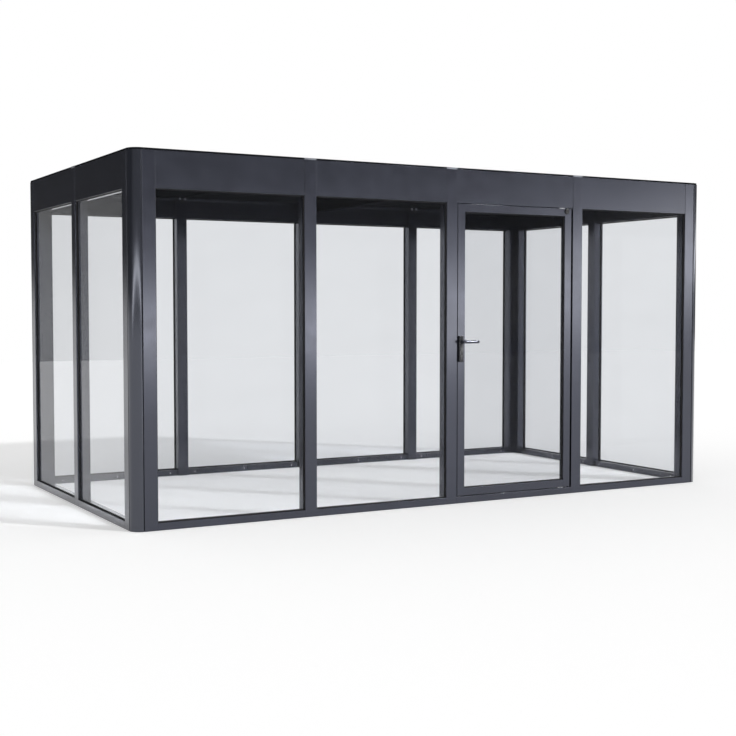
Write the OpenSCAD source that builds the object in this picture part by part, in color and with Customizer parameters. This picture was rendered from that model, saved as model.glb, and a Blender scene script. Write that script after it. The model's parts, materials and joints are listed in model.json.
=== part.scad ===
// Rectangular flat-roofed greenhouse: aluminium posts, clear acrylic panes, one pivot-hung door.
// The front wall faces -Y. The ground is z = 0.

/* [Bays] */
// Centre distance of the posts along the front and back walls
bay_length = 1030; // [900:10:1300]
// Centre distance of the posts along the end walls
bay_depth = 1030; // [800:10:1300]

/* [Frame] */
// Height from the ground to the top of the roof edge
total_height = 2200; // [1950:10:2700]
// Width of a post's outer face
post_face = 80; // [70:1:110]
// Depth of a post, from its outer face inwards
post_depth = 88; // [75:1:120]
// Radius of the quarter-round covers at the building's corners
corner_radius = 70; // [50:1:90]
// Width of the dark groove on each side of a corner cover
groove_width = 6; // [3:1:10]
// Depth of the groove on each side of a corner cover
groove_depth = 10; // [5:1:20]
// Height of the fascia and the roof edge together
fascia_height = 228; // [190:1:300]
// Depth of the fascia and the base rails
rail_depth = 70; // [60:1:85]
// Height of the base rail above the ground
rail_height = 45; // [40:1:80]
// Open seam between the end of a fascia panel and the next post
seam = 2.5; // [1:0.5:5]

/* [Roof] */
// Height of the coping along the roof's edge
coping_height = 11; // [8:1:20]
// How far the coping reaches in past the posts
coping_lap = 12; // [8:1:40]
// How far the coping stands behind the wall's outer face
coping_setback = 3; // [1:1:8]
// Thickness of the roof deck
deck_thickness = 60; // [40:1:80]
// Gap between the deck's top and the underside of the coping
deck_drop = 4; // [2:1:10]
// Height of the ledge under the deck's edge
ledge_height = 16; // [10:1:25]
// How far the ledge reaches in past the posts, to carry the deck
ledge_seat = 17; // [10:1:40]
// Height of the roof beam under the deck
rafter_height = 85; // [60:1:120]

/* [Glazing] */
// Thickness of an acrylic pane
pane_thickness = 6; // [4:1:10]
// Depth of the pane's outer face behind the frame's outer face
pane_recess = 15; // [8:1:25]
// How far a pane's edge sits in its groove
pane_bite = 12; // [8:1:18]
// Clearance between a pane and the sides of its groove
pane_clearance = 0.3; // [0.1:0.1:0.8]

/* [Door] */
// Thickness of the door leaf
leaf_thickness = 44; // [38:1:53]
// Gap between the leaf and the lock jamb
lock_gap = 5; // [5:1:8]
// Gap between the leaf and the hinge jamb
hinge_gap = 15; // [14:1:20]
// Gap above and below the leaf
leaf_gap = 5; // [5:1:8]
// Width of the leaf's stiles
stile_width = 55; // [52:1:80]
// Height of the leaf's rails
leaf_rail_height = 50; // [45:1:80]
// Distance of the pivots from the leaf's hinge edge
pivot_inset = 25; // [22:1:26]
// Radius of the pivot pins
pin_radius = 6; // [5:0.5:8]
// How far a pivot pin reaches into the leaf
pin_reach = 20; // [15:1:30]
// Running clearance of the pins and the spindle
running_clearance = 0.05; // [0.02:0.01:0.09]
// Thickness of the strips that the leaf closes against
stop_thickness = 8; // [6:1:12]
// How far those strips reach behind the leaf
stop_overlap = 2; // [2:1:4]

/* [Handle] */
// Height of the lever's axis above the ground
lever_height = 1066; // [900:1:1200]
// Distance from the lever's axis down to the lock cylinder's axis
cylinder_spacing = 92; // [72:1:92]
// Distance of the lever's axis from the leaf's lock edge
backset = 19; // [18:1:26]
// Width of the outer plate
plate_width = 32; // [28:1:34]
// Height of the plates
plate_height = 171; // [150:1:230]
// How far the plates rise above the lever's axis
plate_above = 39; // [30:1:60]
// Thickness of the outer plate
plate_thickness = 18; // [8:1:20]
// Width of the inner plate
inner_plate_width = 24; // [20:1:24]
// Thickness of the inner plate
inner_plate_thickness = 10; // [6:1:14]
// Radius of the lever's spindle
spindle_radius = 6; // [4:0.5:8]
// Radius of the lever's neck
neck_radius = 9; // [8.5:0.5:12]
// Length of the lever's neck
neck_length = 30; // [25:1:45]
// Reach of the lever from its axis
lever_length = 115; // [90:1:140]
// Height of the lever's bar
lever_bar_height = 20; // [14:1:24]
// Thickness of the lever's bar
lever_bar_thickness = 14; // [8:1:18]
// Radius of the lock cylinder
cylinder_radius = 8.5; // [7:0.5:10]
// How far the lock cylinder stands out of the plates
cylinder_proud = 3; // [1:1:6]
// Radius of the round cap over the upper pivot
cap_radius = 18; // [12:1:18]
// How far that cap stands out of the leaf
cap_proud = 10; // [6:1:10]

/* [Hidden] */

// Bays of the long and short walls, and the bay that holds the door
long_bays = 4;
short_bays = 2;
door_bay = 2;

// Small allowances between pieces, and the sizes of washers, domes and the strips' gap
joint_clearance = 0.3;
seat_clearance = 0.5;
overcut = 1;
stop_gap = 5;
washer_height = 3;
washer_radius = 13;
cap_dome_height = 3;
cap_dome_inset = 4;

// Overall sizes and heights
length = 2 * corner_radius + long_bays * bay_length + post_face;
depth = 2 * corner_radius + short_bays * bay_depth + post_face;
post_top = total_height - coping_height;
fascia_bottom = total_height - fascia_height;
ceiling = post_top - deck_drop - deck_thickness;
coping_width = post_depth + coping_lap;
ledge_end = post_depth + ledge_seat;
pane_bottom = rail_height - pane_bite;
pane_top = fascia_bottom + pane_bite;

// Handle and door, measured from the front wall's left end and outer face
handle_reach = plate_thickness + seat_clearance + neck_length + lever_bar_thickness;
leaf_left = corner_radius + door_bay * bay_length + post_face + lock_gap;
leaf_right = corner_radius + (door_bay + 1) * bay_length - hinge_gap;
leaf_bottom = rail_height + leaf_gap;
leaf_top = fascia_bottom - leaf_gap;
pivot_x = leaf_right - pivot_inset;
pivot_y = leaf_thickness / 2;
lever_x = leaf_left + backset;
cylinder_z = lever_height - cylinder_spacing;
door_pane_bottom = leaf_bottom + leaf_rail_height - pane_bite;
door_pane_top = leaf_top - leaf_rail_height + pane_bite;
stop_front = leaf_thickness + stop_gap;
stop_reach = lock_gap + stop_overlap;

$fn = 64;

// The lever's reach is split evenly, so that the origin is under the middle of the whole building.
module place() {
    translate([-length / 2, (handle_reach - depth) / 2, 0]) children();
}

// Each wall is drawn as the front wall: x along it from its left end, y inwards from its outer face.
module on_front() {
    place() children();
}

module on_back() {
    place() translate([0, depth, 0]) mirror([0, 1, 0]) children();
}

module on_left() {
    place() mirror([1, -1, 0]) children();
}

module on_right() {
    place() translate([length, 0, 0]) mirror([1, 0, 0]) mirror([1, -1, 0]) children();
}

module block(low, high) {
    translate(low) cube(high - low);
}

// A cylinder along +Y that starts at the point given.
module rod(start, radius, reach) {
    translate(start) rotate([-90, 0, 0]) cylinder(r = radius, h = reach);
}

// Left face of a post, counted from the wall's left end
function post_left(i, pitch) = corner_radius + i * pitch;

// Groove for a pane's edge in the face of a post: side is 1 for a pane on the right, -1 on the left.
module post_groove(face_x, side, low = pane_bottom, high = pane_top) {
    inner = face_x - side * pane_bite;
    outer = face_x + side * overcut;
    block(
        [min(inner, outer), pane_recess - pane_clearance, low - pane_clearance],
        [max(inner, outer), pane_recess + pane_thickness + pane_clearance, high + pane_clearance]
    );
}

module corner_post() {
    end = corner_radius + post_face;
    difference() {
        union() {
            block([corner_radius, 0, 0], [end, post_depth, post_top]);
            block([0, corner_radius, 0], [post_depth, end, post_top]);
        }
        post_groove(end, 1);
        mirror([1, -1, 0]) post_groove(end, 1);
    }
}

// Quarter-round cover, open at a groove beside each of the two post faces.
module corner_cover() {
    difference() {
        intersection() {
            translate([corner_radius, corner_radius, 0]) cylinder(r = corner_radius, h = post_top);
            cube([corner_radius, corner_radius, post_top]);
        }
        block(
            [corner_radius - groove_width, -overcut, -overcut],
            [corner_radius + overcut, groove_depth, post_top + overcut]
        );
        block(
            [-overcut, corner_radius - groove_width, -overcut],
            [groove_depth, corner_radius + overcut, post_top + overcut]
        );
    }
}

module post(i, pitch, left_groove = true, right_groove = true) {
    left = post_left(i, pitch);
    difference() {
        block([left, 0, 0], [left + post_face, post_depth, post_top]);
        if (left_groove) post_groove(left, -1);
        if (right_groove) post_groove(left + post_face, 1);
    }
}

// Fascia panels with a seam at their right ends and the deck's ledge along their inner side.
module fascia(bays, pitch, door = -1) {
    for (i = [0 : bays - 1]) {
        left = post_left(i, pitch) + post_face;
        right = post_left(i + 1, pitch) - seam;
        difference() {
            union() {
                block([left, 0, fascia_bottom], [right, rail_depth, post_top]);
                block([left, rail_depth - overcut, ceiling - ledge_height],
                    [right, ledge_end, ceiling]);
            }
            if (i != door)
                block(
                    [left - overcut, pane_recess - pane_clearance, fascia_bottom - overcut],
                    [right + overcut, pane_recess + pane_thickness + pane_clearance,
                        pane_top + seat_clearance]
                );
        }
    }
}

// Base rails between the posts; the doorway's rail is the door's sill and has no groove.
module base_rail(bays, pitch, door = -1) {
    for (i = [0 : bays - 1]) {
        left = post_left(i, pitch) + post_face;
        right = post_left(i + 1, pitch);
        difference() {
            block([left, 0, 0], [right, rail_depth, rail_height]);
            if (i != door)
                block(
                    [left - overcut, pane_recess - pane_clearance, pane_bottom],
                    [right + overcut, pane_recess + pane_thickness + pane_clearance, rail_height + overcut]
                );
        }
    }
}

module panes(bays, pitch, door = -1) {
    for (i = [0 : bays - 1])
        if (i != door)
            block(
                [post_left(i, pitch) + post_face - pane_bite + pane_clearance, pane_recess, pane_bottom],
                [post_left(i + 1, pitch) + pane_bite - pane_clearance, pane_recess + pane_thickness, pane_top]
            );
}

module wall_coping(bays, pitch) {
    for (i = [0 : bays - 1])
        block(
            [post_left(i, pitch) + post_face + joint_clearance, coping_setback, post_top],
            [post_left(i + 1, pitch) - joint_clearance, coping_width, total_height]
        );
}

// The coping's corner piece follows the quarter-round cover.
module corner_coping() {
    end = corner_radius + post_face;
    difference() {
        union() {
            translate([corner_radius, corner_radius, post_top])
                cylinder(r = corner_radius - coping_setback, h = coping_height);
            block([corner_radius, coping_setback, post_top], [end, coping_width, total_height]);
            block([coping_setback, corner_radius, post_top], [coping_width, end, total_height]);
        }
        block([coping_width, coping_width, post_top - overcut],
            [end + overcut, end + overcut, total_height + overcut]);
    }
}

module wall_caps(bays, pitch) {
    for (i = [1 : bays - 1])
        block(
            [post_left(i, pitch) + joint_clearance, 0, post_top],
            [post_left(i, pitch) + post_face - joint_clearance, coping_width, total_height]
        );
}

module corner_post_front_left() { color("#2b2e36") on_front() corner_post(); }
module corner_post_front_right() { color("#2b2e36") on_right() corner_post(); }
module corner_post_back_left() { color("#2b2e36") on_back() corner_post(); }
module corner_post_back_right() {
    color("#2b2e36") place() translate([length, depth, 0]) rotate([0, 0, 180]) corner_post();
}

module corner_cover_front_left() { color("#34373f") on_front() corner_cover(); }
module corner_cover_front_right() { color("#34373f") on_right() corner_cover(); }
module corner_cover_back_left() { color("#34373f") on_back() corner_cover(); }
module corner_cover_back_right() {
    color("#34373f") place() translate([length, depth, 0]) rotate([0, 0, 180]) corner_cover();
}

module front_mullion() { color("#2b2e36") on_front() post(1, bay_length); }

// The lock jamb carries the strike side of the door, so only its left face has a pane groove.
module lock_jamb() { color("#2b2e36") on_front() post(door_bay, bay_length, right_groove = false); }

module hinge_jamb() { color("#2b2e36") on_front() post(door_bay + 1, bay_length, left_groove = false); }

module back_mullion_left() { color("#2b2e36") on_back() post(1, bay_length); }
module back_mullion_middle() { color("#2b2e36") on_back() post(2, bay_length); }
module back_mullion_right() { color("#2b2e36") on_back() post(3, bay_length); }
module left_mullion() { color("#2b2e36") on_left() post(1, bay_depth); }
module right_mullion() { color("#2b2e36") on_right() post(1, bay_depth); }

module front_fascia() { color("#31343d") on_front() fascia(long_bays, bay_length, door_bay); }
module back_fascia() { color("#31343d") on_back() fascia(long_bays, bay_length); }
module left_fascia() { color("#31343d") on_left() fascia(short_bays, bay_depth); }
module right_fascia() { color("#31343d") on_right() fascia(short_bays, bay_depth); }

module front_base_rail() { color("#2b2e36") on_front() base_rail(long_bays, bay_length, door_bay); }
module back_base_rail() { color("#2b2e36") on_back() base_rail(long_bays, bay_length); }
module left_base_rail() { color("#2b2e36") on_left() base_rail(short_bays, bay_depth); }
module right_base_rail() { color("#2b2e36") on_right() base_rail(short_bays, bay_depth); }

module front_panes() { color("#dfe6ea", 0.3) on_front() panes(long_bays, bay_length, door_bay); }
module back_panes() { color("#dfe6ea", 0.3) on_back() panes(long_bays, bay_length); }
module left_panes() { color("#dfe6ea", 0.3) on_left() panes(short_bays, bay_depth); }
module right_panes() { color("#dfe6ea", 0.3) on_right() panes(short_bays, bay_depth); }

// The deck lies on the fascias' ledges and stays clear of the posts.
module roof_deck() {
    inset = post_depth + joint_clearance;
    color("#1b1d21") place()
        block([inset, inset, ceiling], [length - inset, depth - inset, ceiling + deck_thickness]);
}

// One beam under the deck, between the lock jamb and the back post opposite.
module rafter() {
    left = post_left(door_bay, bay_length);
    color("#1f2127") place()
        block([left, post_depth, ceiling - rafter_height], [left + post_face, depth - post_depth, ceiling]);
}

module coping() {
    color("#111216") {
        on_front() wall_coping(long_bays, bay_length);
        on_back() wall_coping(long_bays, bay_length);
        on_left() wall_coping(short_bays, bay_depth);
        on_right() wall_coping(short_bays, bay_depth);
        on_front() corner_coping();
        on_back() corner_coping();
        on_right() corner_coping();
        place() translate([length, depth, 0]) rotate([0, 0, 180]) corner_coping();
    }
}

module mullion_caps() {
    color("#8f939b") {
        on_front() wall_caps(long_bays, bay_length);
        on_back() wall_caps(long_bays, bay_length);
        on_left() wall_caps(short_bays, bay_depth);
        on_right() wall_caps(short_bays, bay_depth);
    }
}

// Strips on the doorway's four sides. The head and sill strips end short of the leaf's turning edge.
module door_stops() {
    jamb = leaf_left - lock_gap;
    hinge_face = leaf_right + hinge_gap;
    turning_room = norm([pivot_inset, leaf_thickness / 2]) + stop_gap;
    turn_depth = min(stop_front - pivot_y, turning_room);
    hinge_strip = ceil(pivot_x + sqrt(turning_room * turning_room - turn_depth * turn_depth));
    turn_clear = floor(pivot_x - turning_room);
    back = stop_front + stop_thickness;
    color("#0c0d10") on_front() {
        block([jamb, stop_front, rail_height], [jamb + stop_reach, back, fascia_bottom]);
        block([hinge_strip, stop_front, rail_height], [hinge_face, back, fascia_bottom]);
        block([jamb + stop_reach + joint_clearance, stop_front, fascia_bottom - leaf_gap - stop_overlap],
            [turn_clear, back, fascia_bottom]);
        block([jamb + stop_reach + joint_clearance, stop_front, rail_height],
            [turn_clear, back, rail_height + leaf_gap + stop_overlap]);
    }
}

// Upper and lower pivot pins, each with the washer that the leaf turns on.
module door_pivots() {
    color("#9a9ca1") on_front() {
        translate([pivot_x, pivot_y, rail_height]) {
            cylinder(r = pin_radius, h = leaf_gap + pin_reach);
            cylinder(r = washer_radius, h = washer_height);
        }
        translate([pivot_x, pivot_y, leaf_top - pin_reach]) cylinder(r = pin_radius, h = leaf_gap + pin_reach);
        translate([pivot_x, pivot_y, fascia_bottom - washer_height])
            cylinder(r = washer_radius, h = washer_height);
    }
}

module lever_bore(low, high) {
    rod([lever_x, low - overcut, lever_height], spindle_radius + running_clearance, high - low + 2 * overcut);
    rod([lever_x, low - overcut, cylinder_z], cylinder_radius + joint_clearance, high - low + 2 * overcut);
}

module door_lock_stile() {
    color("#2b2e36") on_front() difference() {
        block([leaf_left, 0, leaf_bottom], [leaf_left + stile_width, leaf_thickness, leaf_top]);
        post_groove(leaf_left + stile_width, 1, door_pane_bottom, door_pane_top);
        lever_bore(0, leaf_thickness);
    }
}

module door_hinge_stile() {
    bore_depth = pin_reach + overcut;
    color("#2b2e36") on_front() difference() {
        block([leaf_right - stile_width, 0, leaf_bottom], [leaf_right, leaf_thickness, leaf_top]);
        post_groove(leaf_right - stile_width, -1, door_pane_bottom, door_pane_top);
        for (z = [leaf_bottom - overcut, leaf_top - bore_depth])
            translate([pivot_x, pivot_y, z])
                cylinder(r = pin_radius + running_clearance, h = bore_depth + overcut);
    }
}

module leaf_rail(low, high, groove_low, groove_high) {
    color("#2b2e36") on_front() difference() {
        block([leaf_left + stile_width, 0, low], [leaf_right - stile_width, leaf_thickness, high]);
        block(
            [leaf_left, pane_recess - pane_clearance, groove_low],
            [leaf_right, pane_recess + pane_thickness + pane_clearance, groove_high]
        );
    }
}

module door_bottom_rail() {
    top = leaf_bottom + leaf_rail_height;
    leaf_rail(leaf_bottom, top, door_pane_bottom, top + overcut);
}

module door_top_rail() {
    bottom = leaf_top - leaf_rail_height;
    leaf_rail(bottom, leaf_top, bottom - overcut, door_pane_top + seat_clearance);
}

module door_pane() {
    side = stile_width - pane_bite + pane_clearance;
    color("#dfe6ea", 0.3) on_front()
        block([leaf_left + side, pane_recess, door_pane_bottom],
            [leaf_right - side, pane_recess + pane_thickness, door_pane_top]);
}

module plate(width, low, high) {
    color("#3a3d45") on_front() difference() {
        block([lever_x - width / 2, low, lever_height + plate_above - plate_height],
            [lever_x + width / 2, high, lever_height + plate_above]);
        lever_bore(low, high);
    }
}

module outer_plate() { plate(plate_width, -plate_thickness, 0); }

module inner_plate() { plate(inner_plate_width, leaf_thickness, leaf_thickness + inner_plate_thickness); }

module lock_cylinder() {
    start = -plate_thickness - cylinder_proud;
    reach = leaf_thickness + inner_plate_thickness + cylinder_proud - start;
    color("#b9babd") on_front() rod([lever_x, start, cylinder_z], cylinder_radius, reach);
}

// Domed cap on the leaf's outer face, below its upper hinge corner
module pivot_cap() {
    cap_x = leaf_right - cap_radius - pivot_inset + cap_dome_height;
    cap_z = leaf_top - cap_radius - seat_clearance;
    color("#08090b") on_front() {
        rod([cap_x, cap_dome_height - cap_proud, cap_z], cap_radius, cap_proud - cap_dome_height);
        rod([cap_x, -cap_proud, cap_z], cap_radius - cap_dome_inset, cap_dome_height + seat_clearance);
    }
}

// Neck, bar and rounded end of a lever; y is where its neck meets the plate, out is 1 or -1.
module lever(y, out) {
    bar_y = y + out * neck_length;
    bar_low = min(bar_y, bar_y + out * lever_bar_thickness);
    end_radius = lever_bar_height / 2;
    end_x = lever_x + lever_length - end_radius;
    rod([lever_x, min(y, bar_y), lever_height], neck_radius, neck_length);
    rod([lever_x, bar_low, lever_height], end_radius, lever_bar_thickness);
    rod([end_x, bar_low, lever_height], end_radius, lever_bar_thickness);
    block([lever_x, bar_low, lever_height - end_radius],
        [end_x, bar_low + lever_bar_thickness, lever_height + end_radius]);
}

module outer_lever() {
    start = -plate_thickness - seat_clearance;
    end = leaf_thickness + inner_plate_thickness + seat_clearance;
    color("#2b2e36") on_front() {
        lever(start, -1);
        rod([lever_x, start - seat_clearance, lever_height], spindle_radius, end - start + seat_clearance);
    }
}

module inner_lever() {
    color("#2b2e36") on_front() lever(leaf_thickness + inner_plate_thickness + seat_clearance, 1);
}

corner_post_front_left();
corner_post_front_right();
corner_post_back_left();
corner_post_back_right();
corner_cover_front_left();
corner_cover_front_right();
corner_cover_back_left();
corner_cover_back_right();
front_mullion();
lock_jamb();
hinge_jamb();
back_mullion_left();
back_mullion_middle();
back_mullion_right();
left_mullion();
right_mullion();
front_fascia();
back_fascia();
left_fascia();
right_fascia();
front_base_rail();
back_base_rail();
left_base_rail();
right_base_rail();
front_panes();
back_panes();
left_panes();
right_panes();
roof_deck();
rafter();
coping();
mullion_caps();
door_stops();
door_pivots();
door_lock_stile();
door_hinge_stile();
door_top_rail();
door_bottom_rail();
door_pane();
outer_plate();
inner_plate();
lock_cylinder();
pivot_cap();
outer_lever();
inner_lever();
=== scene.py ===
"""Acrylic glass greenhouse: finishes, seals, fittings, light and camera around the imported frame."""
import json
import math

import bmesh
import bpy
from mathutils import Matrix, Vector


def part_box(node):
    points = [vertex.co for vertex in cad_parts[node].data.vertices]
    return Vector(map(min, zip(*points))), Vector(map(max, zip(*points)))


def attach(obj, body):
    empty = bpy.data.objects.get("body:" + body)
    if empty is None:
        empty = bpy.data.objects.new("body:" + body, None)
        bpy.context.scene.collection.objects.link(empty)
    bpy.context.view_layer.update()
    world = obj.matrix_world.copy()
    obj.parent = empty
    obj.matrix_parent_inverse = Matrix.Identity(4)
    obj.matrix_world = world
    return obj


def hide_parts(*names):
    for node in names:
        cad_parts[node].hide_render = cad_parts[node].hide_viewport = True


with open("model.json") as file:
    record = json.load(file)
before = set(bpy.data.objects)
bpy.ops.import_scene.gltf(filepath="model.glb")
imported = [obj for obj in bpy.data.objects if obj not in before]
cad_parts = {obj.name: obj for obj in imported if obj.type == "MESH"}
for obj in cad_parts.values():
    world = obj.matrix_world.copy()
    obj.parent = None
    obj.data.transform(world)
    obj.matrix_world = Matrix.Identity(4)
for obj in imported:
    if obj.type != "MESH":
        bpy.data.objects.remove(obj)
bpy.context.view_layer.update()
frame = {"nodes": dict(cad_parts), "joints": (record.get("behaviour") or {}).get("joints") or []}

MM = 0.001

# Sizes read from the frame, in metres
WALL_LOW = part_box("corner_post_front_left")[0]
WALL_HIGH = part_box("corner_post_back_right")[1]
RAIL_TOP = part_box("front_base_rail")[1].z
RAIL_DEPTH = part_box("front_base_rail")[1].y - WALL_LOW.y
FASCIA_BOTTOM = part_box("front_fascia")[0].z
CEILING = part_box("roof_deck")[0].z
DECK_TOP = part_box("roof_deck")[1].z
ROOF_TOP = WALL_HIGH.z + 11 * MM
PANE_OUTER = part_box("front_panes")[0].y - WALL_LOW.y
PANE_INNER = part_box("front_panes")[1].y - WALL_LOW.y
LEAF_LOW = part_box("door_lock_stile")[0]
LEAF_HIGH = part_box("door_hinge_stile")[1]
POST_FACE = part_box("front_mullion")[1].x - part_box("front_mullion")[0].x


# ---------------------------------------------------------------- node helpers

def add_node(tree, kind, **inputs):
    """A shader node; keyword names are its inputs, with _ for spaces, or its own properties."""
    node = tree.nodes.new(kind)
    for name, value in inputs.items():
        socket = node.inputs.get(name.replace("_", " "))
        if socket is None:
            setattr(node, name, value)
        else:
            socket.default_value = value
    return node


def new_material(name):
    """An empty node material with a Principled shader on its output."""
    material = bpy.data.materials.new(name)
    material.use_nodes = True
    tree = material.node_tree
    return material, tree, tree.nodes["Principled BSDF"]


def noise(tree, scale, detail=3.0, stretch=(1, 1, 1)):
    """Noise in the piece's own coordinates, stretched along the axes given."""
    coordinates = add_node(tree, "ShaderNodeTexCoord")
    mapping = add_node(tree, "ShaderNodeMapping", Scale=stretch)
    texture = add_node(tree, "ShaderNodeTexNoise", Scale=scale, Detail=detail)
    tree.links.new(coordinates.outputs["Object"], mapping.inputs["Vector"])
    tree.links.new(mapping.outputs["Vector"], texture.inputs["Vector"])
    return texture.outputs["Fac"]


def ramp(tree, factor, low, high, start=0.3, end=0.7):
    """Colour that runs from low to high as the factor runs from start to end."""
    node = add_node(tree, "ShaderNodeValToRGB")
    node.color_ramp.elements[0].position = start
    node.color_ramp.elements[0].color = (*low, 1)
    node.color_ramp.elements[1].position = end
    node.color_ramp.elements[1].color = (*high, 1)
    tree.links.new(factor, node.inputs["Fac"])
    return node.outputs["Color"]


def spread(tree, factor, low, high):
    """The factor's middle range, mapped to low..high."""
    node = add_node(tree, "ShaderNodeMapRange", From_Min=0.3, From_Max=0.7, To_Min=low, To_Max=high)
    tree.links.new(factor, node.inputs["Value"])
    return node.outputs["Result"]


def bump(tree, shader, height, strength, distance):
    """Bump on the shader's normal."""
    node = add_node(tree, "ShaderNodeBump", Strength=strength, Distance=distance)
    tree.links.new(height, node.inputs["Height"])
    tree.links.new(node.outputs["Normal"], shader.inputs["Normal"])


def calculate(tree, operation, first, second):
    """The result of one sum on a linked value and a number or another linked value."""
    node = add_node(tree, "ShaderNodeMath", operation=operation)
    for place, value in enumerate((first, second)):
        if isinstance(value, (int, float)):
            node.inputs[place].default_value = value
        else:
            tree.links.new(value, node.inputs[place])
    return node.outputs[0]


def shade(colour, factor):
    """A colour made lighter or darker."""
    return tuple(channel * factor for channel in colour)


# ---------------------------------------------------------------- materials

def powder_coat(name, colour, metallic, roughness, coat):
    """Satin powder coat: soft cloudiness, a fine orange-peel surface and uneven gloss."""
    material, tree, shader = new_material(name)
    clouds = noise(tree, 3.0, stretch=(1, 1, 0.4))
    tree.links.new(ramp(tree, clouds, shade(colour, 0.92), shade(colour, 1.08)), shader.inputs["Base Color"])
    gloss = noise(tree, 14.0, detail=5.0)
    tree.links.new(spread(tree, gloss, roughness - 0.03, roughness + 0.03), shader.inputs["Roughness"])
    bump(tree, shader, noise(tree, 650.0, detail=2.0), 0.04, 0.2 * MM)
    shader.inputs["Metallic"].default_value = metallic
    shader.inputs["Coat Weight"].default_value = coat
    shader.inputs["Coat Roughness"].default_value = 0.12
    return material


def acrylic(name, colour):
    """Clear polished sheet with a grey tint.

    The index is 1.18, not acrylic's 1.49: a choice for the look, because at 1.49 the panes
    reflected far more than the photo's do.
    """
    material, tree, shader = new_material(name)
    wipes = noise(tree, 2.2, detail=6.0, stretch=(1, 1, 2.5))
    tree.links.new(ramp(tree, wipes, shade(colour, 0.985), colour), shader.inputs["Base Color"])
    shader.inputs["Roughness"].default_value = 0.0
    shader.inputs["Transmission Weight"].default_value = 1.0
    shader.inputs["IOR"].default_value = 1.18
    clear = add_node(tree, "ShaderNodeBsdfTransparent", Color=(*shade(colour, 0.95), 1))
    rays = add_node(tree, "ShaderNodeLightPath")
    mix = add_node(tree, "ShaderNodeMixShader")
    output = tree.nodes["Material Output"]
    tree.links.new(rays.outputs["Is Shadow Ray"], mix.inputs[0])
    tree.links.new(shader.outputs["BSDF"], mix.inputs[1])
    tree.links.new(clear.outputs["BSDF"], mix.inputs[2])
    tree.links.new(mix.outputs["Shader"], output.inputs["Surface"])
    return material


def rubber(name):
    """Matt black seal with a faint bloom."""
    material, tree, shader = new_material(name)
    bloom = noise(tree, 40.0, detail=5.0)
    tree.links.new(ramp(tree, bloom, (0.006, 0.006, 0.007), (0.016, 0.016, 0.018)), shader.inputs["Base Color"])
    tree.links.new(spread(tree, bloom, 0.5, 0.7), shader.inputs["Roughness"])
    bump(tree, shader, noise(tree, 900.0), 0.2, 0.2 * MM)
    shader.inputs["Specular IOR Level"].default_value = 0.35
    return material


def sheet_metal(name, colour, roughness):
    """Coated roof sheet with long, faint streaks."""
    material, tree, shader = new_material(name)
    streaks = noise(tree, 6.0, detail=5.0, stretch=(1, 0.15, 1))
    tree.links.new(ramp(tree, streaks, shade(colour, 0.8), shade(colour, 1.2)), shader.inputs["Base Color"])
    tree.links.new(spread(tree, streaks, roughness - 0.08, roughness + 0.08), shader.inputs["Roughness"])
    bump(tree, shader, noise(tree, 500.0), 0.15, 0.3 * MM)
    shader.inputs["Specular IOR Level"].default_value = 0.0
    return material


def brushed_metal(name, colour, roughness, stretch):
    """Bare metal with fine brushing across the axis that is stretched most."""
    material, tree, shader = new_material(name)
    brushing = noise(tree, 90.0, detail=6.0, stretch=stretch)
    tree.links.new(ramp(tree, brushing, shade(colour, 0.85), colour), shader.inputs["Base Color"])
    tree.links.new(spread(tree, brushing, roughness - 0.06, roughness + 0.08), shader.inputs["Roughness"])
    bump(tree, shader, brushing, 0.15, 0.1 * MM)
    shader.inputs["Metallic"].default_value = 1.0
    return material


def gloss_plastic(name, colour):
    """Moulded plastic with a light grain."""
    material, tree, shader = new_material(name)
    grain = noise(tree, 300.0, detail=4.0)
    tree.links.new(ramp(tree, grain, shade(colour, 0.8), shade(colour, 1.2)), shader.inputs["Base Color"])
    tree.links.new(spread(tree, grain, 0.25, 0.35), shader.inputs["Roughness"])
    bump(tree, shader, grain, 0.1, 0.1 * MM)
    return material


MATERIALS = {
    "frame_paint": powder_coat("frame_paint", (0.047, 0.051, 0.072), 0.62, 0.17, 0.45),
    "cover_paint": powder_coat("cover_paint", (0.055, 0.060, 0.080), 0.62, 0.17, 0.6),
    "fascia_paint": powder_coat("fascia_paint", (0.043, 0.047, 0.066), 0.62, 0.20, 0.4),
    "acrylic": acrylic("acrylic", (0.865, 0.875, 0.89)),
    "acrylic_door": acrylic("acrylic_door", (0.73, 0.74, 0.76)),
    "deck_sheet": sheet_metal("deck_sheet", (0.013, 0.014, 0.017), 0.7),
    "coping_paint": sheet_metal("coping_paint", (0.010, 0.011, 0.013), 0.38),
    "cap_paint": powder_coat("cap_paint", (0.22, 0.23, 0.26), 0.3, 0.36, 0.3),
    "rubber_strip": rubber("rubber_strip"),
    "steel": brushed_metal("steel", (0.55, 0.55, 0.56), 0.3, (1, 1, 12)),
    "handle_paint": powder_coat("handle_paint", (0.018, 0.019, 0.024), 0.4, 0.28, 0.5),
    "cylinder_metal": brushed_metal("cylinder_metal", (0.11, 0.11, 0.115), 0.35, (12, 1, 1)),
    "black_plastic": gloss_plastic("black_plastic", (0.008, 0.008, 0.009)),
}
# The roof beam is as matt as the deck that it carries
NODE_FINISH = {"rafter": "deck_sheet"}
PANE_EDGE = 0.4 * MM
FRAME_EDGE = 1.2 * MM


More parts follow.
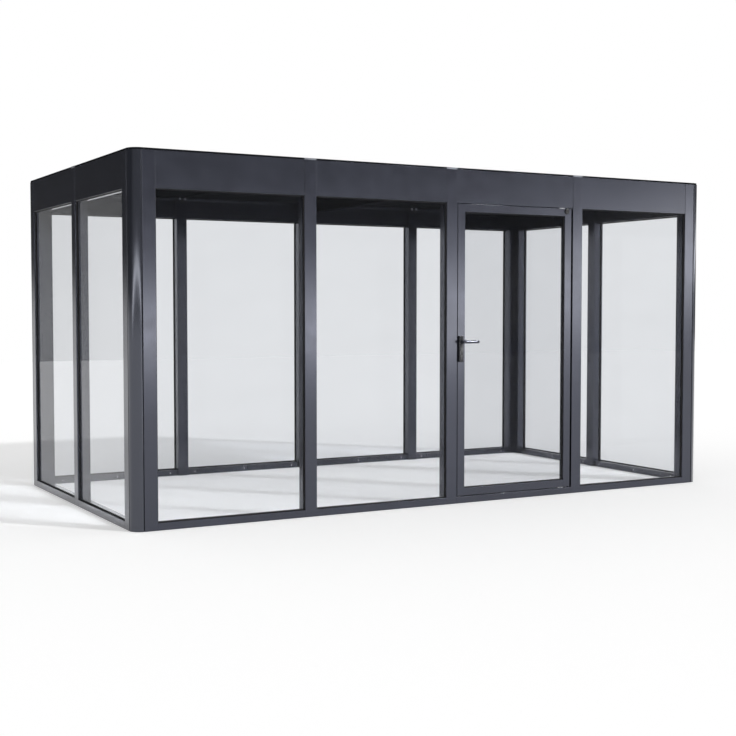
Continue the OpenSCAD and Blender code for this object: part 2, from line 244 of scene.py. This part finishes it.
def finish_nodes():
    """Every node gets its slot's material and slightly rounded edges, on faces without cross edges."""
    for node in frame["nodes"].values():
        for place in node.material_slots:
            place.material = MATERIALS[NODE_FINISH.get(node.name, place.material.name.split(".")[0])]
        weld = node.modifiers.new("weld", "WELD")
        weld.merge_threshold = 0.02 * MM
        flat = node.modifiers.new("flat", "DECIMATE")
        flat.decimate_type = "DISSOLVE"
        flat.angle_limit = math.radians(1)
        edge = node.modifiers.new("edge", "BEVEL")
        edge.width = PANE_EDGE if "pane" in node.name else FRAME_EDGE
        edge.segments = 2
        edge.limit_method = "ANGLE"
        edge.angle_limit = math.radians(40)
        edge.harden_normals = True


# ---------------------------------------------------------------- mesh helpers

def make_piece(name, bm, material, body, smooth=35):
    """A finished piece from a bmesh: normals out, soft shading up to an angle, riding on its body."""
    bmesh.ops.recalc_face_normals(bm, faces=bm.faces)
    mesh = bpy.data.meshes.new(name)
    for face in bm.faces:
        face.smooth = True
    bm.to_mesh(mesh)
    bm.free()
    mesh.set_sharp_from_angle(angle=math.radians(smooth))
    mesh.materials.append(MATERIALS[material])
    piece = bpy.data.objects.new(name, mesh)
    bpy.context.scene.collection.objects.link(piece)
    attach(piece, body)
    return piece


def add_ring(bm, points):
    return [bm.verts.new(point) for point in points]


def join_rings(bm, first, second):
    """Quads between two closed rings of the same length."""
    count = len(first)
    for i in range(count):
        j = (i + 1) % count
        bm.faces.new((first[i], first[j], second[j], second[i]))


def skin(bm, rings, closed_path=False, caps=True):
    """A skin over a row of rings, closed at its ends or joined to its own start."""
    rows = [add_ring(bm, ring) for ring in rings]
    for first, second in zip(rows, rows[1:]):
        join_rings(bm, first, second)
    if closed_path:
        join_rings(bm, rows[-1], rows[0])
    elif caps:
        bm.faces.new(list(reversed(rows[0])))
        bm.faces.new(rows[-1])
    return rows


def circle(radius, count=32):
    steps = [2 * math.pi * i / count for i in range(count)]
    return [(radius * math.cos(turn), radius * math.sin(turn)) for turn in steps]


def lathe(bm, outline, place, count=32):
    """Turns (radius, height) points about an axis; place(u, v, height) gives the point in space."""
    rings = []
    for radius, height in outline:
        rings.append([place(u, v, height) for u, v in circle(radius, count)])
    return skin(bm, rings)


def rounded_rectangle(width, height, radius, steps=6):
    """Outline of a rectangle with round corners, about its middle."""
    points = []
    for quarter, (side, level) in enumerate(((1, 1), (-1, 1), (-1, -1), (1, -1))):
        centre_x = side * (width / 2 - radius)
        centre_z = level * (height / 2 - radius)
        for i in range(steps + 1):
            turn = math.pi / 2 * (quarter + i / steps)
            points.append((centre_x + radius * math.cos(turn), centre_z + radius * math.sin(turn)))
    return points


def soft_block(bm, low, high, radius=1 * MM, segments=2):
    """A block with round edges, added to the mesh."""
    low, high = Vector(low), Vector(high)
    size = high - low
    matrix = Matrix.Translation((low + high) / 2) @ Matrix.Diagonal((*size, 1))
    made = bmesh.ops.create_cube(bm, size=1, matrix=matrix)
    edges = {edge for vertex in made["verts"] for edge in vertex.link_edges}
    bmesh.ops.bevel(
        bm, geom=list(edges), offset=min(radius, min(size) / 3), segments=segments,
        affect="EDGES", profile=0.5,
    )


# ---------------------------------------------------------------- walls

class Wall:
    """A wall's own coordinates: along it, inwards from its outer face, and up."""

    def __init__(self, name, origin, along, inwards):
        self.name = name
        self.origin = Vector(origin)
        self.along = Vector(along)
        self.inwards = Vector(inwards)

    def point(self, a, depth, z):
        return self.origin + self.along * a + self.inwards * depth + Vector((0, 0, z))


WALLS = [
    Wall("front", (WALL_LOW.x, WALL_LOW.y, 0), (1, 0, 0), (0, 1, 0)),
    Wall("back", (WALL_LOW.x, WALL_HIGH.y, 0), (1, 0, 0), (0, -1, 0)),
    Wall("left", (WALL_LOW.x, WALL_LOW.y, 0), (0, 1, 0), (1, 0, 0)),
    Wall("right", (WALL_HIGH.x, WALL_LOW.y, 0), (0, 1, 0), (-1, 0, 0)),
]


def posts_of(wall):
    """Start and end, along the wall, of each of its posts, from one corner to the other."""
    mullions = {
        "front": ("front_mullion", "lock_jamb", "hinge_jamb"),
        "back": ("back_mullion_left", "back_mullion_middle", "back_mullion_right"),
        "left": ("left_mullion",),
        "right": ("right_mullion",),
    }[wall.name]
    first_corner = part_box("corner_post_front_left")[1] if wall.name != "right" else None
    if first_corner is None:
        first_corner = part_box("corner_post_front_right")[1]
    start = (first_corner - wall.origin).dot(wall.along)
    if wall.name == "back":
        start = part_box("corner_post_back_left")[1].x - wall.origin.x
    length = abs((WALL_HIGH - WALL_LOW).dot(wall.along))
    spans = [(start - POST_FACE, start)]
    for name in mullions:
        low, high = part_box(name)
        spans.append(((low - wall.origin).dot(wall.along), (high - wall.origin).dot(wall.along)))
    spans.append((length - start, length - start + POST_FACE))
    return spans


def bays_of(wall):
    """Clear span of each bay between the posts."""
    spans = posts_of(wall)
    return [(left[1], right[0]) for left, right in zip(spans, spans[1:])]


DOOR_BAY = 2


# ---------------------------------------------------------------- seals

# Section of a glazing seal: in from the frame's edge, and out from the pane's face
SEAL_SECTION = [(0.0, 0.0), (0.0, 6.0), (1.2, 6.6), (2.6, 6.0), (3.6, 4.4), (5.0, 2.6), (6.2, 1.6), (6.6, 0.0)]


def add_seal(bm, wall, span, heights, face, out):
    """A mitred seal round one pane; out is -1 on the outside of the pane and 1 on the inside."""
    corners = [
        (span[0], heights[0], 1, 1), (span[1], heights[0], -1, 1),
        (span[1], heights[1], -1, -1), (span[0], heights[1], 1, -1),
    ]
    rings = []
    for a, z, side, level in corners:
        rings.append([
            wall.point(a + side * u * MM, face + out * rise * MM, z + level * u * MM)
            for u, rise in SEAL_SECTION
        ])
    skin(bm, rings, closed_path=True)


def glazing_seals():
    """Black seals on both faces of every pane, one piece for each wall and one for the door."""
    for wall in WALLS:
        bm = bmesh.new()
        for i, span in enumerate(bays_of(wall)):
            if wall.name == "front" and i == DOOR_BAY:
                continue
            heights = (RAIL_TOP, FASCIA_BOTTOM)
            add_seal(bm, wall, span, heights, PANE_OUTER, -1)
            add_seal(bm, wall, span, heights, PANE_INNER, 1)
        make_piece(f"{wall.name}_seals", bm, "rubber_strip", "frame")
    front = WALLS[0]
    span = (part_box("door_lock_stile")[1].x - front.origin.x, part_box("door_hinge_stile")[0].x - front.origin.x)
    heights = (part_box("door_bottom_rail")[1].z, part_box("door_top_rail")[0].z)
    bm = bmesh.new()
    add_seal(bm, front, span, heights, PANE_OUTER, -1)
    add_seal(bm, front, span, heights, PANE_INNER, 1)
    make_piece("door_seals", bm, "rubber_strip", "door")


def bulb(bm, start, end, across, towards, radius):
    """A D-shaped bulb seal from start to end, that bulges towards the leaf."""
    section = [(math.cos(math.pi * i / 8), math.sin(math.pi * i / 8)) for i in range(9)]
    rings = []
    for centre in (Vector(start), Vector(end)):
        rings.append([centre + across * u * radius + towards * v * radius for u, v in section])
    skin(bm, rings)


def door_bulbs():
    """Bulb seals on the strips that the leaf closes against."""
    low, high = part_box("door_stops")
    radius = 2.2 * MM
    towards = Vector((0, -1, 0))
    lock_x = LEAF_LOW.x - 2 * MM
    hinge_x = high.x - 5 * MM
    bm = bmesh.new()
    ends = (low.z + 10 * MM, high.z - 10 * MM)
    for x in (lock_x, hinge_x):
        bulb(bm, (x, low.y, ends[0]), (x, low.y, ends[1]), Vector((1, 0, 0)), towards, radius)
    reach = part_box("door_pivots")[0].x - 30 * MM
    for z in (low.z + 3 * MM, high.z - 3 * MM):
        bulb(bm, (lock_x + 5 * MM, low.y, z), (reach, low.y, z), Vector((0, 0, 1)), towards, radius)
    make_piece("door_bulb_seals", bm, "rubber_strip", "frame")


# ---------------------------------------------------------------- door furniture

LEVER_AXIS = Vector(next(j["pos_m"] for j in frame["joints"] if j["name"] == "lever_turn"))
CYLINDER_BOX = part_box("lock_cylinder")
CYLINDER_Z = (CYLINDER_BOX[0].z + CYLINDER_BOX[1].z) / 2
CYLINDER_RADIUS = (CYLINDER_BOX[1].z - CYLINDER_BOX[0].z) / 2


def on_axis(x, z, face, out):
    """Places a turned shape on an axis along Y: out is -1 for outwards and 1 for inwards."""
    def place(u, v, height):
        return Vector((x + u, face + out * height, z + v))
    return place


def plate_piece(name, node, out, corner):
    """A plate with round corners, a crowned edge and a collar round the lever's neck."""
    low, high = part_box(node)
    centre_x, centre_z = (low.x + high.x) / 2, (low.z + high.z) / 2
    back, front = (high.y, low.y) if out < 0 else (low.y, high.y)
    thickness = abs(front - back)
    width, height = high.x - low.x, high.z - low.z
    rings = []
    for inset, level in ((0, 0), (0, thickness - 2.5 * MM), (0.5 * MM, thickness - 1.2 * MM),
                         (1.3 * MM, thickness - 0.4 * MM), (2.6 * MM, thickness)):
        outline = rounded_rectangle(width - 2 * inset, height - 2 * inset, corner - inset)
        rings.append([Vector((centre_x + u, back + out * level, centre_z + v)) for u, v in outline])
    bm = bmesh.new()
    skin(bm, rings)
    collar = [(10.6, -0.5), (10.6, 1.6), (10.9, 2.1), (11.4, 2.3), (12.2, 1.9), (12.8, 1.0), (13.0, -0.5)]
    place = on_axis(LEVER_AXIS.x, LEVER_AXIS.z, front, out)
    rings = [[place(u, v, level * MM) for u, v in circle(min(radius * MM, width / 2 - 0.5 * MM), 40)]
             for radius, level in collar]
    skin(bm, rings, closed_path=True)
    piece = make_piece(name, bm, "handle_paint", "door")
    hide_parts(node)


def lever_piece(name, node, start, out):
    """A lever bent from one bar: round neck, a turn, and a flatter grip with a rounded end."""
    low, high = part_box(node)
    tip = high.x
    reach = (LEVER_AXIS.y - low.y if out < 0 else high.y - LEVER_AXIS.y)
    grip_depth = reach - 7 * MM
    bend = 13 * MM
    half_height = (high.z - low.z) / 2
    neck = 9 * MM
    stations = []
    begin = abs(start - LEVER_AXIS.y)
    for i in range(4):
        depth = begin + (grip_depth - bend - begin) * i / 3
        stations.append((Vector((0, depth)), Vector((0, 1)), neck, neck))
    for i in range(1, 9):
        turn = math.pi / 2 * i / 8
        centre = Vector((bend - bend * math.cos(turn), grip_depth - bend + bend * math.sin(turn)))
        blend = i / 8
        across = neck + (7 * MM - neck) * blend
        tall = neck + (half_height - neck) * blend
        stations.append((centre, Vector((math.sin(turn), math.cos(turn))), across, tall))
    grip_start, grip_end = bend, tip - LEVER_AXIS.x
    for i in range(1, 13):
        share = i / 12
        x = grip_start + (grip_end - grip_start) * math.sin(share * math.pi / 2)
        roundness = math.sqrt(max(0.0, 1 - max(0.0, (x - grip_end + half_height) / half_height) ** 2))
        taper = 1 - 0.12 * share
        size = max(roundness, 0.12)
        stations.append((Vector((x, grip_depth)), Vector((1, 0)), 7 * MM * taper * size, half_height * size))
    rings = []
    for centre, heading, across, tall in stations:
        side = Vector((heading.y, -heading.x))
        ring = []
        for i in range(24):
            turn = 2 * math.pi * i / 24
            u = math.copysign(abs(math.cos(turn)) ** 0.8, math.cos(turn)) * across
            v = math.copysign(abs(math.sin(turn)) ** 0.8, math.sin(turn)) * tall
            flat = centre + side * u
            ring.append(Vector((LEVER_AXIS.x + flat.x, LEVER_AXIS.y + out * flat.y, LEVER_AXIS.z + v)))
        rings.append(ring)
    bm = bmesh.new()
    skin(bm, rings)
    piece = make_piece(name, bm, "frame_paint", "lever", smooth=60)
    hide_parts(node)


def euro_outline(radius, half_slot, drop, steps=20):
    """Outline of a profile cylinder: a circle with a narrower tail below it."""
    points = []
    meet = math.asin(half_slot / radius)
    for i in range(steps + 1):
        turn = -math.pi / 2 + meet + (2 * math.pi - 2 * meet) * i / steps
        points.append((radius * math.cos(turn), radius * math.sin(turn)))
    for i in range(steps // 2 + 1):
        turn = math.pi + math.pi * i / (steps // 2)
        points.append((half_slot * math.cos(turn), -drop + half_slot + half_slot * math.sin(turn)))
    return points


def keyed_core(bm, place, radius, height, slot_width, slot_height, slot_depth):
    """Round core whose front has a key slot sunk into it."""
    count = 32
    outer, inner = [], []
    for i in range(count):
        turn = 2 * math.pi * i / count + math.pi / count
        c, s = math.cos(turn), math.sin(turn)
        outer.append((radius * c, radius * s))
        reach = min(slot_width / 2 / max(abs(c), 1e-6), slot_height / 2 / max(abs(s), 1e-6))
        inner.append((reach * c, reach * s))
    rings = [
        [place(u, v, -1 * MM) for u, v in outer],
        [place(u, v, height - 0.4 * MM) for u, v in outer],
        [place(u * 0.95, v * 0.95, height) for u, v in outer],
        [place(u, v, height) for u, v in inner],
        [place(u, v, height - slot_depth) for u, v in inner],
    ]
    skin(bm, rings)


def lock_cylinder_piece():
    """Profile cylinder through both plates, with a key slot on each face."""
    low, high = CYLINDER_BOX
    x = (low.x + high.x) / 2
    bm = bmesh.new()
    outline = euro_outline(CYLINDER_RADIUS, 5 * MM, 24.5 * MM)
    rings = []
    reach = high.y - low.y
    for shrink, depth in ((0.94, 0.9 * MM), (1, 1.5 * MM), (1, reach - 1.5 * MM), (0.94, reach - 0.9 * MM)):
        rings.append([Vector((x + u * shrink, low.y + depth, CYLINDER_Z + v * shrink)) for u, v in outline])
    skin(bm, rings)
    core = CYLINDER_RADIUS - 2 * MM
    for face, out in ((low.y + 0.9 * MM, -1), (high.y - 0.9 * MM, 1)):
        place = on_axis(x, CYLINDER_Z, face, out)
        keyed_core(bm, place, core, 0.9 * MM, 2 * MM, 7.5 * MM, 0.8 * MM)
    piece = make_piece("profile_cylinder", bm, "cylinder_metal", "door")
    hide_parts("lock_cylinder")


def pivot_cap_piece():
    """Domed round cap over the upper pivot."""
    low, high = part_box("pivot_cap")
    radius = (high.x - low.x) / 2
    proud = high.y - low.y
    outline = [(radius, 0), (radius, proud * 0.45)]
    for i in range(1, 8):
        turn = math.pi / 2 * i / 8
        outline.append((radius * (0.55 + 0.45 * math.cos(turn)), proud * (0.45 + 0.5 * math.sin(turn))))
    outline += [(radius * 0.5, proud * 0.96), (radius * 0.25, proud * 0.99), (radius * 0.04, proud)]
    bm = bmesh.new()
    lathe(bm, outline, on_axis((low.x + high.x) / 2, (low.z + high.z) / 2, high.y, -1), 48)
    piece = make_piece("domed_pivot_cap", bm, "black_plastic", "door", smooth=50)
    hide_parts("pivot_cap")


def lock_forend():
    """Steel forend with its latch on the leaf's edge, and the strike plate opposite on the jamb."""
    depth = (LEAF_LOW.y + LEAF_HIGH.y) / 2
    jamb_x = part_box("lock_jamb")[1].x
    for name, face, out, body, height in (
            ("lock_forend", LEAF_LOW.x, -1, "door", 240 * MM), ("strike_plate", jamb_x, 1, "frame", 170 * MM)):
        bm = bmesh.new()
        rings = []
        for inset, level in ((0, 0), (0, 0.6 * MM), (0.4 * MM, 0.9 * MM)):
            outline = rounded_rectangle(20 * MM - 2 * inset, height - 2 * inset, 9.5 * MM - inset)
            rings.append([Vector((face + out * level, depth + u, LEVER_AXIS.z - 30 * MM + v)) for u, v in outline])
        skin(bm, rings)
        if body == "door":
            latch_low = (face - 3 * MM, depth - 6 * MM, LEVER_AXIS.z - 10 * MM)
            soft_block(bm, latch_low, (face, depth + 6 * MM, LEVER_AXIS.z + 10 * MM), 1.2 * MM, 3)
        make_piece(name, bm, "steel", body)


# ---------------------------------------------------------------- roof and small parts

def roof_seams():
    """Standing seams of the roof sheet, from front to back."""
    low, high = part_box("roof_deck")
    rise = ROOF_TOP - DECK_TOP - 2 * MM
    section = [(-9, 0), (-6, 0.75), (-5, 1), (5, 1), (6, 0.75), (9, 0)]
    count = 9
    inset = 60 * MM
    bm = bmesh.new()
    for i in range(count):
        x = low.x + inset + (high.x - low.x - 2 * inset) * i / (count - 1)
        rings = []
        for y in (low.y + inset, high.y - inset):
            rings.append([Vector((x + u * MM, y, DECK_TOP - 0.5 * MM + rise * v)) for u, v in section])
        skin(bm, rings)
    make_piece("roof_seams", bm, "deck_sheet", "frame")


def ceiling_trims():
    """Flat cover strips over the joints of the ceiling sheets, in line with the posts."""
    low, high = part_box("roof_deck")
    bm = bmesh.new()
    for name in ("back_mullion_left", "back_mullion_right"):
        post_low, post_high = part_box(name)
        middle = (post_low.x + post_high.x) / 2
        soft_block(
            bm, (middle - 20 * MM, low.y + 20 * MM, CEILING - 3 * MM),
            (middle + 20 * MM, high.y - 20 * MM, CEILING), 1 * MM,
        )
    make_piece("ceiling_trims", bm, "deck_sheet", "frame")


def ledge_clips():
    """Pairs of small clips on the back wall's ledge, beside each post."""
    wall = WALLS[1]
    low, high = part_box("back_fascia")
    depth = wall.origin.y - low.y
    bm = bmesh.new()
    for start, end in posts_of(wall)[1:-1]:
        for a in (start + 20 * MM, end - 20 * MM):
            first = wall.point(a - 6 * MM, depth, CEILING - 17 * MM)
            second = wall.point(a + 6 * MM, depth + 7 * MM, CEILING - 1 * MM)
            corner = [min(p, q) for p, q in zip(first, second)]
            other = [max(p, q) for p, q in zip(first, second)]
            soft_block(bm, corner, other, 1.5 * MM, 3)
    make_piece("ledge_clips", bm, "cap_paint", "frame")


def add_screw(bm, place, radius):
    """Domed screw head with a six-sided socket."""
    height = radius * 0.55
    dome = [(radius, 0.0), (radius, 0.15 * height)]
    for i in range(1, 5):
        turn = math.pi / 2 * i / 5
        dome.append((radius * (0.5 + 0.5 * math.cos(turn)), height * (0.15 + 0.85 * math.sin(turn))))
    rings = [[place(u, v, level) for u, v in circle(r, 24)] for r, level in dome]
    socket = radius * 0.4
    for level in (height, height * 0.35):
        ring = []
        for u, v in circle(1.0, 24):
            turn = math.atan2(v, u) % (math.pi / 3) - math.pi / 6
            reach = socket * math.cos(math.pi / 6) / math.cos(turn)
            ring.append(place(u * reach, v * reach, level))
        rings.append(ring)
    skin(bm, rings)


def rail_screws():
    """Screws along the inner faces of the base rails and on the inner handle plate."""
    bm = bmesh.new()
    for wall in WALLS:
        for start, end in bays_of(wall):
            for a in (start + 60 * MM, (start + end) / 2, end - 60 * MM):
                def place(u, v, height, wall=wall, a=a):
                    return wall.point(a + u, RAIL_DEPTH + height, RAIL_TOP / 2 + v)
                add_screw(bm, place, 5 * MM)
    make_piece("rail_screws", bm, "steel", "frame")
    low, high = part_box("inner_plate")
    bm = bmesh.new()
    for z in (high.z - 12 * MM, low.z + 7 * MM):
        add_screw(bm, on_axis((low.x + high.x) / 2, z, high.y, 1), 3.6 * MM)
    make_piece("plate_screws", bm, "steel", "door")


# ---------------------------------------------------------------- floor, light and camera

FLOOR_COLOUR = (0.86, 0.86, 0.86)
FLOOR_LIFT = 0.29


def make_floor():
    """A wide pale floor; camera and reflections see it a little lighter, and it keeps the shadow."""
    bpy.ops.mesh.primitive_plane_add(size=44, location=(0, 0, -0.5 * MM))
    floor = bpy.context.object
    floor.name = "floor"
    material, tree, shader = new_material("floor")
    shader.inputs["Roughness"].default_value = 0.9
    shader.inputs["Specular IOR Level"].default_value = 0.0
    grain = noise(tree, 30.0, detail=4.0)
    tree.links.new(ramp(tree, grain, shade(FLOOR_COLOUR, 0.995), FLOOR_COLOUR), shader.inputs["Base Color"])
    rays = add_node(tree, "ShaderNodeLightPath")
    seen = add_node(tree, "ShaderNodeMath", operation="MAXIMUM")
    tree.links.new(rays.outputs["Is Camera Ray"], seen.inputs[0])
    tree.links.new(rays.outputs["Is Transmission Ray"], seen.inputs[1])
    lift = add_node(tree, "ShaderNodeMath", operation="MULTIPLY")
    lift.inputs[1].default_value = FLOOR_LIFT
    shown = calculate(tree, "MAXIMUM", seen.outputs[0], rays.outputs["Is Glossy Ray"])
    tree.links.new(shown, lift.inputs[0])
    shader.inputs["Emission Color"].default_value = (1, 1, 1, 1)
    tree.links.new(lift.outputs[0], shader.inputs["Emission Strength"])
    floor.data.materials.append(material)


# Brightness that gloss reflects, against the sine of the height above the horizon
GLOSS_BANDS = [(-1.0, 0.4), (-0.06, 0.5), (-0.02, 5.4), (0.012, 5.4), (0.05, 0.25), (1.0, 0.10)]
HORIZON_DROP = 0.02
SLOPE_START = 0.5
SLOPE = 0.35
LEFT_SLOPE_START = 0.25
LEFT_SLOPE = 0.25
REAR_SHARE = 0.15
# The polished panes mirror only this share of the bright horizon, which keeps them clear
MIRROR_SHARE = 0.2
FILL = 0.6


def make_world():
    """White for the camera and through panes, a bright horizon for gloss, and an even fill."""
    world = bpy.data.worlds.new("studio")
    bpy.context.scene.world = world
    world.use_nodes = True
    tree = world.node_tree
    background = tree.nodes["Background"]
    coordinates = add_node(tree, "ShaderNodeTexCoord")
    split = add_node(tree, "ShaderNodeSeparateXYZ")
    tree.links.new(coordinates.outputs["Generated"], split.inputs[0])
    beyond = calculate(tree, "SUBTRACT", split.outputs["X"], SLOPE_START)
    slope = calculate(tree, "MULTIPLY", calculate(tree, "MAXIMUM", beyond, 0.0), SLOPE)
    rise = calculate(tree, "SUBTRACT", calculate(tree, "ADD", split.outputs["Z"], HORIZON_DROP), slope)
    short = calculate(tree, "MAXIMUM", calculate(tree, "SUBTRACT", LEFT_SLOPE_START, split.outputs["X"]), 0.0)
    ahead = calculate(tree, "MAXIMUM", calculate(tree, "MULTIPLY", split.outputs["Y"], -LEFT_SLOPE), 0.0)
    rise = calculate(tree, "SUBTRACT", rise, calculate(tree, "MULTIPLY", short, ahead))
    height = add_node(tree, "ShaderNodeMapRange", From_Min=-1.0, From_Max=1.0)
    tree.links.new(rise, height.inputs["Value"])
    bands = add_node(tree, "ShaderNodeValToRGB")
    stops = bands.color_ramp.elements
    while len(stops) < len(GLOSS_BANDS):
        stops.new(0.5)
    for stop, (level, _) in zip(stops, GLOSS_BANDS):
        stop.position = (level + 1) / 2
    for stop, (_, brightness) in zip(stops, GLOSS_BANDS):
        stop.color = (brightness, brightness, brightness, 1)
    tree.links.new(height.outputs["Result"], bands.inputs["Fac"])
    rays = add_node(tree, "ShaderNodeLightPath")
    gloss = add_node(tree, "ShaderNodeMix", data_type="RGBA")
    gloss.inputs[6].default_value = (FILL, FILL, FILL, 1)
    tree.links.new(rays.outputs["Is Glossy Ray"], gloss.inputs[0])
    rear = add_node(tree, "ShaderNodeMapRange", From_Min=-0.2, From_Max=0.1, To_Min=1.0, To_Max=REAR_SHARE)
    tree.links.new(split.outputs["Y"], rear.inputs["Value"])
    scaled = add_node(tree, "ShaderNodeVectorMath", operation="SCALE")
    tree.links.new(bands.outputs["Color"], scaled.inputs[0])
    mirrored = calculate(tree, "MULTIPLY", rays.outputs["Is Singular Ray"], 1 - MIRROR_SHARE)
    share = calculate(tree, "MULTIPLY", rear.outputs["Result"], calculate(tree, "SUBTRACT", 1.0, mirrored))
    tree.links.new(share, scaled.inputs["Scale"])
    tree.links.new(scaled.outputs["Vector"], gloss.inputs[7])
    seen = add_node(tree, "ShaderNodeMath", operation="MAXIMUM")
    tree.links.new(rays.outputs["Is Camera Ray"], seen.inputs[0])
    tree.links.new(rays.outputs["Is Transmission Ray"], seen.inputs[1])
    final = add_node(tree, "ShaderNodeMix", data_type="RGBA")
    final.inputs[7].default_value = (1, 1, 1, 1)
    tree.links.new(seen.outputs[0], final.inputs[0])
    tree.links.new(gloss.outputs[2], final.inputs[6])
    tree.links.new(final.outputs[2], background.inputs["Color"])
    background.inputs["Strength"].default_value = 1.0


def aim(thing, target):
    """Turns a lamp or camera so that it looks at a point."""
    direction = Vector(target) - thing.location
    thing.rotation_euler = direction.to_track_quat("-Z", "Y").to_euler()


def make_lamps():
    """A soft key from the front right."""
    azimuth, elevation = math.radians(40), math.radians(30)
    sun = bpy.data.lights.new("key", "SUN")
    sun.energy = 1.5
    sun.angle = math.radians(3)
    key = bpy.data.objects.new("key", sun)
    key.location = (
        10 * math.sin(azimuth) * math.cos(elevation), -10 * math.cos(azimuth) * math.cos(elevation),
        10 * math.sin(elevation),
    )
    aim(key, (0, 0, 0))
    bpy.context.scene.collection.objects.link(key)


def make_camera():
    """Eye-level view from the front left, with a slightly long lens."""
    data = bpy.data.cameras.new("camera")
    data.sensor_width = 36
    data.lens = 61.19
    camera = bpy.data.objects.new("camera", data)
    corner = Vector((WALL_LOW.x, WALL_LOW.y, 0))
    camera.location = corner + Vector((-2.300, -6.862, 1.290))
    camera.rotation_euler = (math.pi / 2 - 0.0482, 0, -0.5103)
    bpy.context.scene.collection.objects.link(camera)
    bpy.context.scene.camera = camera


make_camera()
finish_nodes()
glazing_seals()
door_bulbs()
plate_piece("outer_escutcheon", "outer_plate", -1, 5 * MM)
plate_piece("inner_escutcheon", "inner_plate", 1, 4 * MM)
lever_piece("outer_lever_bar", "outer_lever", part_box("outer_plate")[0].y - 0.5 * MM, -1)
lever_piece("inner_lever_bar", "inner_lever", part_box("inner_lever")[0].y, 1)
lock_cylinder_piece()
pivot_cap_piece()
lock_forend()
roof_seams()
ceiling_trims()
ledge_clips()
rail_screws()
make_floor()
make_world()
make_lamps()
bpy.context.scene.view_settings.view_transform = "Standard"
